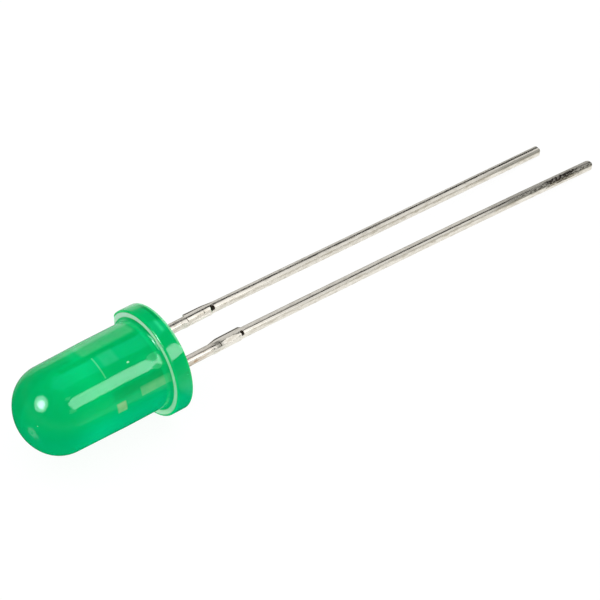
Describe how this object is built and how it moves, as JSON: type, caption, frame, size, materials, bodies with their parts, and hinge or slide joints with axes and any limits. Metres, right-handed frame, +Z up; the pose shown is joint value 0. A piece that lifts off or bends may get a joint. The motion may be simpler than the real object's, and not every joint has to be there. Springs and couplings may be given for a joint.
{
  "type": "through-hole led",
  "caption": "Round diffused through-hole LED with a flanged epoxy body, a cathode flat and straight parallel leads, lying on its side.",
  "frame": {"origin": "on the table, below the middle of the lying part's box", "axes": "+X from the dome towards the lead tips, +Y towards the cathode lead, +Z up; the body's axis tilts by 4.2 degrees, because the part rests on the flange's rear rim and both lead tips"},
  "size_m": [0.038, 0.0058, 0.0061],
  "materials": {
    "tinted_epoxy": "gloss",
    "tinned_steel": "polished",
    "semiconductor": "satin",
    "silver_adhesive": "matte",
    "bond_gold": "polished"
  },
  "bodies": {
    "root": {"lens_body": "tinted_epoxy", "anode_lead": "tinned_steel", "cathode_lead": "tinned_steel", "led_die": "semiconductor", "die_attach": "silver_adhesive", "bond_wire": "bond_gold"}
  },
  "joints": []
}
